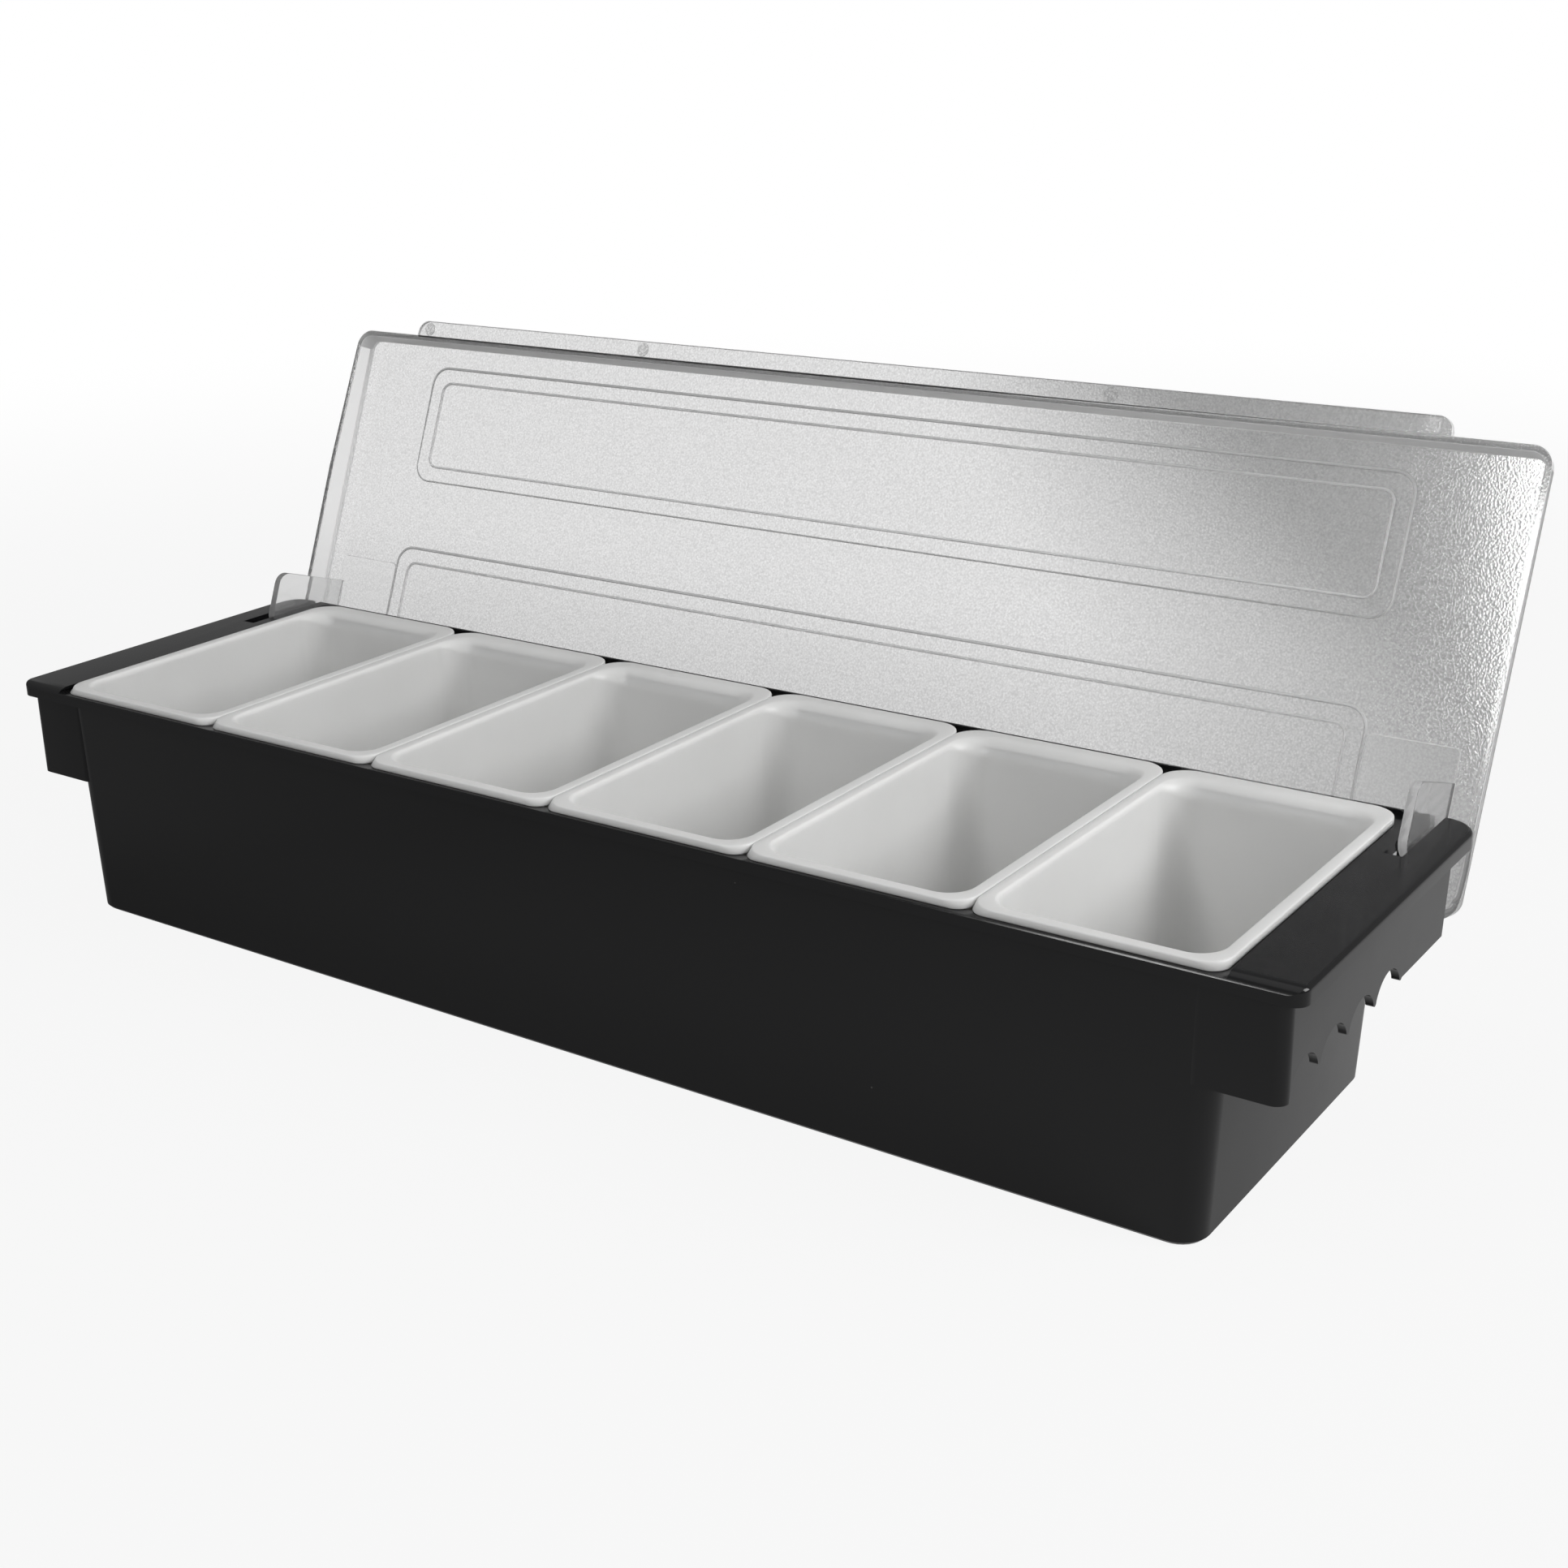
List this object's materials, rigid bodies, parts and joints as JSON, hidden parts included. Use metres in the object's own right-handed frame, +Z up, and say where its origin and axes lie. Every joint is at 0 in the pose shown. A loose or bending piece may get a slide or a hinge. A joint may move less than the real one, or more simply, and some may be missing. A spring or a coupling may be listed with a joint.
{
  "type": "compartment spice box",
  "caption": "Black housing with a row of drop-in translucent trays under one clear hinged lid, which stands open on its stop",
  "frame": {"origin": "on the underside, below the centre of the flange", "axes": "+X along the box to the right, +Y to the hinge at the back, +Z up"},
  "size_m": [0.495, 0.1914, 0.1928],
  "materials": {
    "housing_plastic": "glossy injection-moulded black ABS",
    "tray_plastic": "translucent white polyethylene with a satin surface",
    "lid_plastic": "clear styrene with a fine pebble texture"
  },
  "bodies": {
    "base": {"housing": "housing_plastic", "tray_1": "tray_plastic", "tray_2": "tray_plastic", "tray_3": "tray_plastic", "tray_4": "tray_plastic", "tray_5": "tray_plastic", "tray_6": "tray_plastic"},
    "lid": {"lid": "lid_plastic"}
  },
  "joints": [
    {"name": "lid_hinge", "type": "hinge", "parent": "base", "child": "lid", "pos_m": [0, 0.056, 0.0741], "axis": [1, 0, 0], "range_deg": [0, 112.5]}
  ]
}
